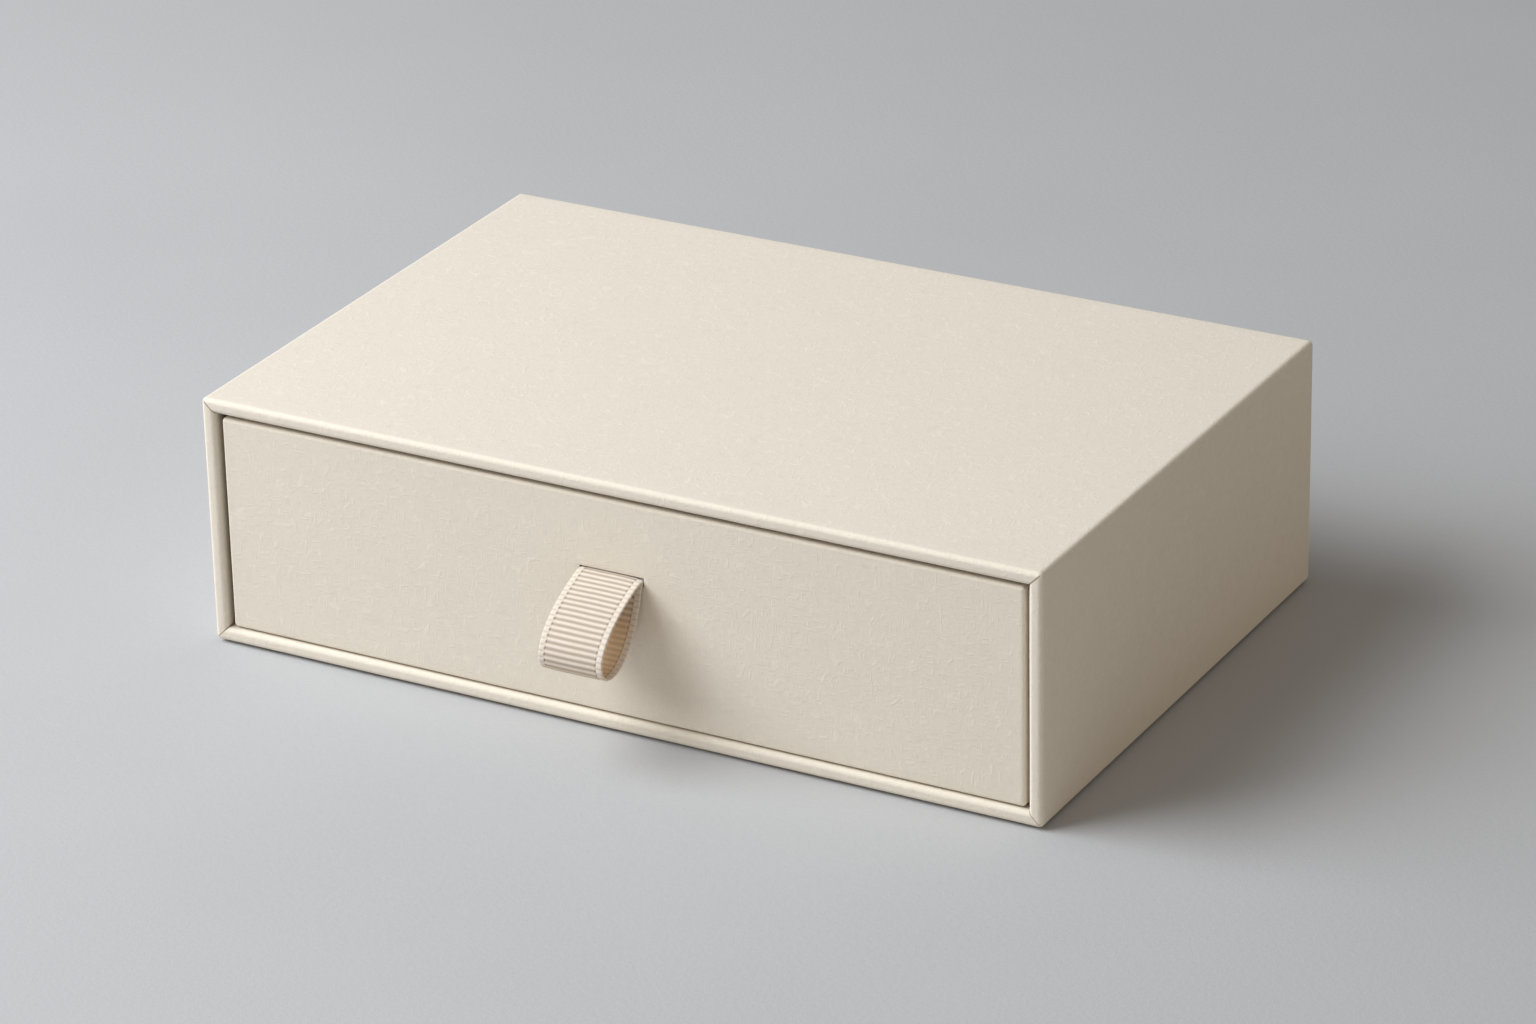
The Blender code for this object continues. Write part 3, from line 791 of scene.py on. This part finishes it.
def ribbon():
    """The grosgrain ribbon in one piece from glued end to glued end, and its length.

    Its faces lie over and under the centre line by the weave's half thickness. In front of the
    drawer its two sides bend back as the square of the distance from the middle, and at the
    slot its upper run droops as the cube of it, more on the right.
    """
    line = ribbon_line()
    gone = distances_along(line)
    rows = ribbon_rows(line, gone)
    centre, outward = ribbon_course(line, gone, rows)
    section = ribbon_section()
    across, share, thread = (section[None, :, axis] for axis in range(3))
    half_thickness, moved, marks = grosgrain(rows, gone[-1], across, thread)
    shape = half_thickness.shape
    from_middle = np.abs(across) / (RIBBON_WIDTH / 2)
    free = in_front(centre)[:, None]
    at_slot = (rows < gone[-1] / 2)[:, None] * near_slot(centre)[:, None]
    cup = CUP * from_middle**2 * free
    droop = DROOP * from_middle**3 * (1 + 0.6 * np.sign(across)) * at_slot
    height = half_thickness * share - cup - droop
    flat = centre[:, None, :] + height[..., None] * outward[:, None, :]
    points = np.stack([
        np.broadcast_to(moved, shape), HINGE[1] - flat[..., 0], HINGE[2] + flat[..., 1]
    ], axis=-1)
    faces = torus_faces(*shape)[:-1].reshape(-1, 4)
    faces = np.vstack([faces, end_faces(*shape)])
    weave = np.column_stack([
        np.broadcast_to(across / RIBBON_WIDTH + 0.5, shape).ravel(),
        np.broadcast_to(rows[:, None] / RIBBON_WIDTH, shape).ravel(),
    ])
    # Painted warm shade: the ribbon's face inside the loop, and its upper face where it faces
    # down, are tinted darker and warmer.
    underneath = smooth_step(-outward[:, 1:], 0.1, 0.9) * (share > 0)
    inside_loop = (share < 0) * (1 - marks["selvedge"]) * free
    marks["reverse"] = np.maximum(inside_loop, 0.75 * underneath)
    piece = mesh_object("ribbon", points.reshape(-1, 3), faces, marks, weave)
    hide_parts("pull_loop", "ribbon_upper_tail", "ribbon_lower_tail")
    return piece, gone[-1]


# Finishes


def new_material(name, roughness, gloss):
    """A material with its shader's plain values set, its node tree and its shader."""
    material = bpy.data.materials.new(name)
    material.use_nodes = True
    tree = material.node_tree
    shader = tree.nodes["Principled BSDF"]
    shader.inputs["Roughness"].default_value = roughness
    shader.inputs["Specular IOR Level"].default_value = gloss
    return material, tree, shader


def add_node(tree, kind, inputs=None, **settings):
    """A node with its settings made and its inputs set to values or linked to sockets."""
    node = tree.nodes.new(kind)
    for setting, value in settings.items():
        setattr(node, setting, value)
    for key, value in (inputs or {}).items():
        if isinstance(value, bpy.types.NodeSocket):
            tree.links.new(value, node.inputs[key])
        else:
            node.inputs[key].default_value = value
    return node


def calc(tree, operation, *values):
    """The outcome of one arithmetic operation on numbers or sockets."""
    node = add_node(tree, "ShaderNodeMath", dict(enumerate(values)), operation=operation)
    return node.outputs[0]


def carried(tree, value, source, target):
    """A number carried from one range, as (low, high), to another, and held inside it."""
    inputs = {
        "Value": value,
        "From Min": source[0],
        "From Max": source[1],
        "To Min": target[0],
        "To Max": target[1],
    }
    return add_node(tree, "ShaderNodeMapRange", inputs).outputs["Result"]


def blend_colours(tree, factor, first, second, mode="MIX"):
    """Two colours mixed by a factor."""
    node = add_node(tree, "ShaderNodeMix", {"Factor": factor}, data_type="RGBA", blend_type=mode)
    for key, colour in (("A", first), ("B", second)):
        socket = next(s for s in node.inputs if s.name == key and s.type == "RGBA")
        if isinstance(colour, bpy.types.NodeSocket):
            tree.links.new(colour, socket)
        else:
            socket.default_value = (*colour, 1)
    return next(s for s in node.outputs if s.type == "RGBA")


def tinted(colour, share):
    """A colour times a number, no channel above 1."""
    return tuple(min(1, channel * share) for channel in colour)


def noise(tree, place, scale, detail=2.0, roughness=0.5, distortion=0.0):
    """Cloudy noise between 0 and 1, with about as many waves to a metre as its scale says."""
    inputs = {
        "Vector": place,
        "Scale": scale,
        "Detail": detail,
        "Roughness": roughness,
        "Distortion": distortion,
    }
    return add_node(tree, "ShaderNodeTexNoise", inputs).outputs["Fac"]


def object_place(tree, stretch=(1, 1, 1), turn=(0, 0, 0)):
    """Object coordinates, turned and stretched."""
    coordinates = add_node(tree, "ShaderNodeTexCoord").outputs["Object"]
    inputs = {"Vector": coordinates, "Scale": stretch, "Rotation": turn}
    return add_node(tree, "ShaderNodeMapping", inputs).outputs["Vector"]


def mark(tree, name):
    """A mark of the mesh's points."""
    return add_node(tree, "ShaderNodeAttribute", attribute_name=name).outputs["Fac"]


def add_bump(tree, shader, height, distance):
    """Relief on the shader, with a height between 0 and 1 times the distance."""
    inputs = {"Height": height, "Distance": distance, "Strength": 1.0}
    normal = add_node(tree, "ShaderNodeBump", inputs).outputs["Normal"]
    tree.links.new(normal, shader.inputs["Normal"])


def paper_finish(name, colour, marked=False):
    """Uncoated paper: faint clouds, a fine grain, and short fibres in three directions.

    Where its mesh is marked, it is also paler on folds, partly as wear and partly as a painted
    highlight, and darker along seams and with painted shade inside the sleeve's mouth.
    """
    material, tree, shader = new_material(name, roughness=0.82, gloss=0.28)
    place = object_place(tree)
    clouds = noise(tree, place, 70, detail=4, roughness=0.6)
    pulp = noise(tree, place, 620, detail=3, roughness=0.6)
    tooth = noise(tree, place, 4200, roughness=0.6)
    grain = noise(tree, place, 1500, roughness=0.7)
    raised = sunk = 0.0
    for turn, stretch in FIBRES:
        strands = noise(tree, object_place(tree, stretch, turn), 2200, detail=1, distortion=0.6)
        raised = calc(tree, "MAXIMUM", raised, carried(tree, strands, (0.61, 0.72), (0, 1)))
        sunk = calc(tree, "MAXIMUM", sunk, carried(tree, strands, (0.39, 0.28), (0, 1)))
    clouds = carried(tree, clouds, (0.35, 0.65), (0, 1))
    surface = blend_colours(tree, clouds, tinted(colour, 0.994), tinted(colour, 1.006))
    speckles = calc(
        tree,
        "ADD",
        carried(tree, pulp, (0.3, 0.7), (0, 0.03)),
        carried(tree, grain, (0.3, 0.7), (0, 0.025)),
    )
    surface = blend_colours(tree, speckles, surface, tinted(colour, 0.6))
    for strength, fibres, share in ((0.3, raised, 1.10), (0.25, sunk, 0.86)):
        strength = calc(tree, "MULTIPLY", fibres, strength)
        surface = blend_colours(tree, strength, surface, tinted(colour, share))
    if marked:
        # Paler on folds: partly wear, partly a painted highlight.
        patchy = carried(tree, pulp, (0.35, 0.65), (0.25, 0.7))
        wear_and_highlight = calc(tree, "MULTIPLY", mark(tree, "fold"), patchy)
        surface = blend_colours(tree, wear_and_highlight, surface, tinted(colour, 1.12))
        # Darker along seams, and painted shade where the seam mark also covers the sleeve's mouth.
        shaded = tuple(channel * share for channel, share in zip(colour, SEAM_AND_GAP_SHADE))
        seam = calc(tree, "MULTIPLY", mark(tree, "seam"), 0.8)
        surface = blend_colours(tree, seam, surface, shaded)
    tree.links.new(surface, shader.inputs["Base Color"])
    tree.links.new(carried(tree, pulp, (0.3, 0.7), (0.78, 0.88)), shader.inputs["Roughness"])
    height = calc(tree, "MULTIPLY", tooth, 0.3)
    for layer, share in ((pulp, 0.6), (grain, 0.45), (raised, 0.7)):
        height = calc(tree, "ADD", height, calc(tree, "MULTIPLY", layer, share))
    add_bump(tree, shader, height, 0.045 * MM)
    return material


def board_finish():
    """Greyboard: grey pulp with darker and lighter flecks of recycled paper."""
    material, tree, shader = new_material("greyboard", roughness=0.92, gloss=0.2)
    flecks = noise(tree, object_place(tree), 1500, detail=4, roughness=0.7)
    layers = noise(tree, object_place(tree, (0.3, 0.3, 1)), 2200)
    fleck = carried(tree, flecks, (0.36, 0.64), (0, 1))
    surface = blend_colours(tree, fleck, BOARD_DARK, BOARD_LIGHT)
    layer = carried(tree, layers, (0.55, 0.75), (0, 0.5))
    surface = blend_colours(tree, layer, surface, BOARD_LAYER)
    tree.links.new(surface, shader.inputs["Base Color"])
    add_bump(tree, shader, flecks, 0.05 * MM)
    return material


def tape_finish():
    """Kraft tape: brown with long faint fibres."""
    material, tree, shader = new_material("kraft_tape", roughness=0.68, gloss=0.35)
    strands = noise(tree, object_place(tree, (0.1, 1, 1)), 2400, detail=3, roughness=0.6)
    strand = carried(tree, strands, (0.35, 0.65), (0, 1))
    surface = blend_colours(tree, strand, TAPE_DARK, TAPE_LIGHT)
    tree.links.new(surface, shader.inputs["Base Color"])
    add_bump(tree, shader, strands, 0.02 * MM)
    return material


def ribbon_finish():
    """Grosgrain: fine warp threads over the ribs, dark between them, and knitted selvedges.

    The pattern follows the ribbon's own map, whose unit is the ribbon's width on both axes.
    The valley between two ribs zigzags from thread to thread, as its mark does.
    """
    material, tree, shader = new_material("grosgrain_ribbon", roughness=0.72, gloss=0.3)
    shader.inputs["Sheen Weight"].default_value = 0.25
    shader.inputs["Sheen Roughness"].default_value = 0.5
    place = add_node(tree, "ShaderNodeUVMap", uv_map="weave").outputs["UV"]
    parts = add_node(tree, "ShaderNodeSeparateXYZ", {"Vector": place})
    across = calc(tree, "MULTIPLY", parts.outputs["X"], RIBBON_WIDTH / THREAD_PITCH)
    along = calc(tree, "MULTIPLY", parts.outputs["Y"], RIBBON_WIDTH / RIB_PITCH)
    thread = calc(tree, "PINGPONG", across, 0.5)
    round_thread = calc(tree, "SINE", calc(tree, "MULTIPLY", thread, math.pi))
    valley = carried(tree, mark(tree, "valley"), (0.1, 0.8), (0, 1))
    # Painted shade under and inside the loop: there the valleys are darkened less.
    weaker_valleys_in_loop_shade = carried(tree, mark(tree, "reverse"), (0, 1), (1, 0.45))
    valley = calc(tree, "MULTIPLY", valley, weaker_valleys_in_loop_shade)
    wander = noise(tree, object_place(tree), 900, detail=3, roughness=0.6)
    yarn = blend_colours(tree, carried(tree, wander, (0.3, 0.7), (0, 1)), YARN_DARK, YARN_LIGHT)
    # Painted shade between the warp threads.
    thread_shade = calc(tree, "MULTIPLY", calc(tree, "SUBTRACT", 1.0, round_thread), 0.25)
    yarn = blend_colours(tree, thread_shade, yarn, SHADE_BETWEEN_THREADS)
    # Painted shade in the valleys between ribs and between the selvedge's beads.
    yarn = blend_colours(tree, calc(tree, "MULTIPLY", valley, 0.9), yarn, SHADE_BETWEEN_RIBS)
    stitched = calc(tree, "MULTIPLY", mark(tree, "stitch"), 0.8)
    yarn = blend_colours(tree, stitched, yarn, STITCHES)
    # Painted warm shade inside and under the loop.
    yarn = blend_colours(tree, mark(tree, "reverse"), yarn, LOOP_SHADE_TINT, "MULTIPLY")
    tree.links.new(yarn, shader.inputs["Base Color"])
    loops = calc(tree, "SINE", calc(tree, "MULTIPLY", along, 4 * WHOLE_TURN))
    knit = calc(tree, "MULTIPLY", calc(tree, "MULTIPLY", loops, mark(tree, "selvedge")), 0.4)
    height = calc(tree, "SUBTRACT", calc(tree, "ADD", round_thread, knit), valley)
    add_bump(tree, shader, height, 0.035 * MM)
    return material


def floor_finish():
    """Matt grey studio paper with a fine grain."""
    material, tree, shader = new_material("studio_floor", roughness=0.9, gloss=0.15)
    place = object_place(tree)
    grain = noise(tree, place, 900, detail=3, roughness=0.7)
    patches = noise(tree, place, 9, detail=3)
    patch = carried(tree, patches, (0.3, 0.7), (0, 1))
    surface = blend_colours(tree, patch, FLOOR_DARK, FLOOR_LIGHT)
    speckle = carried(tree, grain, (0.3, 0.7), (0, 0.10))
    surface = blend_colours(tree, speckle, surface, tinted(FLOOR_DARK, 0.8))
    tree.links.new(surface, shader.inputs["Base Color"])
    add_bump(tree, shader, grain, 0.08 * MM)
    return material


def assign(piece, material):
    """Gives a piece its finish."""
    piece.data.materials.clear()
    piece.data.materials.append(material)


def dress_nodes(lining):
    """Finishes for the solids that stay as they are."""
    finishes = (
        ("board", board_finish(), "greyboard"),
        ("stay", tape_finish(), "kraft_tape"),
        ("lining", lining, "lining_paper"),
        ("cover", paper_finish("cream_paper_back", CREAM), "cream_paper"),
    )
    for name, node in frame["nodes"].items():
        for word, material, slot in finishes:
            if word in name:
                assign(node, material)


# Studio


def add_floor():
    """A wide flat floor under the object."""
    corners = ((-1, -1), (1, -1), (1, 1), (-1, 1))
    points = [(FLOOR_HALF * x, FLOOR_HALF * y, FLOOR_LEVEL) for x, y in corners]
    mesh = bpy.data.meshes.new("studio_floor")
    mesh.from_pydata(points, [], [(0, 1, 2, 3)])
    mesh.materials.append(floor_finish())
    floor = bpy.data.objects.new("studio_floor", mesh)
    bpy.context.scene.collection.objects.link(floor)


def add_lamp(name, place, aim, size, power, colour):
    """A square soft lamp that faces a point."""
    light = bpy.data.lights.new(name, "AREA")
    light.shape = "SQUARE"
    light.size = size
    light.energy = power
    light.color = colour
    lamp = bpy.data.objects.new(name, light)
    lamp.location = place
    lamp.rotation_euler = (Vector(aim) - Vector(place)).to_track_quat("-Z", "Y").to_euler()
    bpy.context.scene.collection.objects.link(lamp)


def light_studio():
    """A soft key from the left in front, two faint warm fills, and the surround."""
    for lamp in LAMPS:
        add_lamp(*lamp)
    world = bpy.data.worlds.new("studio")
    world.use_nodes = True
    background = world.node_tree.nodes["Background"]
    background.inputs["Color"].default_value = (*WORLD, 1)
    background.inputs["Strength"].default_value = WORLD_STRENGTH
    bpy.context.scene.world = world


def add_camera():
    """The camera, from its place, the way it looks and what is right in its picture."""
    camera_data = bpy.data.cameras.new("camera")
    camera_data.sensor_width = SENSOR_WIDTH
    camera_data.lens = CAMERA_LENS
    camera_data.clip_start = CLIP_START
    camera_data.clip_end = CLIP_END
    camera = bpy.data.objects.new("camera", camera_data)
    back = -Vector(CAMERA_AHEAD).normalized()
    up = back.cross(Vector(CAMERA_RIGHT)).normalized()
    right = up.cross(back)
    turn = Matrix((right, up, back)).transposed().to_4x4()
    camera.matrix_world = Matrix.Translation(CAMERA_PLACE) @ turn
    bpy.context.scene.collection.objects.link(camera)
    bpy.context.scene.camera = camera


def main():
    """Dresses every piece and sets up the studio."""
    bpy.context.scene.view_settings.view_transform = "Standard"
    cream = paper_finish("cream_paper", CREAM, marked=True)
    lining = paper_finish("lining_paper", LINING)
    dress_nodes(lining)
    assign(sleeve_paper(), cream)
    assign(drawer_paper(), cream)
    assign(drawer_lining(), lining)
    band, length = ribbon()
    assign(band, ribbon_finish())
    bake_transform(band)
    add_floor()
    light_studio()
    add_camera()


main()
